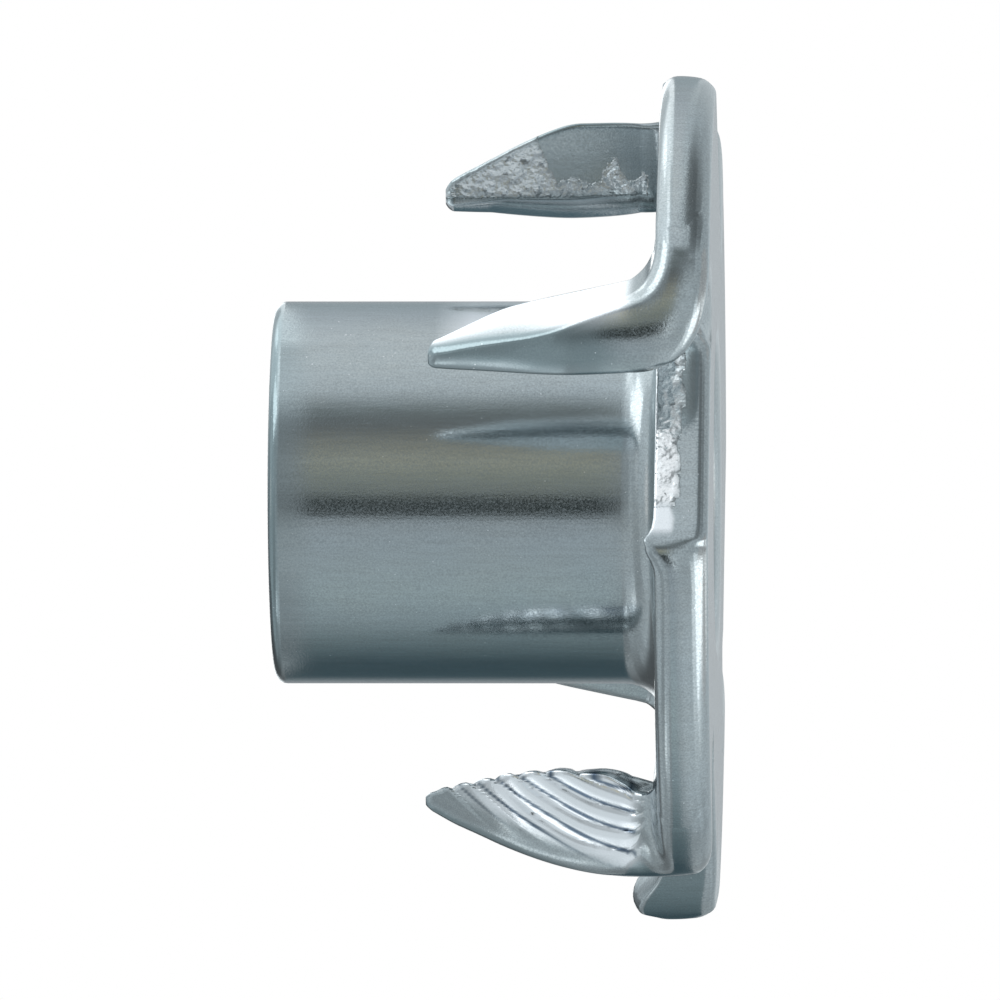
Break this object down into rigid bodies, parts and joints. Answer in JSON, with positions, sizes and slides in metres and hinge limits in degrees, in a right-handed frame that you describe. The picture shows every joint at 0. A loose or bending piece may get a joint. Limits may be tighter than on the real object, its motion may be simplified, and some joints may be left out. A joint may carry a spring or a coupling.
{
  "type": "four-prong tee nut",
  "caption": "One-piece stamped tee nut: threaded barrel on a round flange whose rim is lanced into prongs bent up round the barrel.",
  "frame": {"origin": "centre of the flange's back face, where the bore's axis meets it", "axes": "+Z along the bore's axis from the flange's back to the barrel's end, X and Y along the faces of the prongs"},
  "size_m": [0.022, 0.022, 0.0115],
  "materials": {
    "zinc_steel": "bright zinc plating, semi-gloss, bluish"
  },
  "bodies": {
    "root": {"tee_nut": "zinc_steel"}
  },
  "joints": []
}
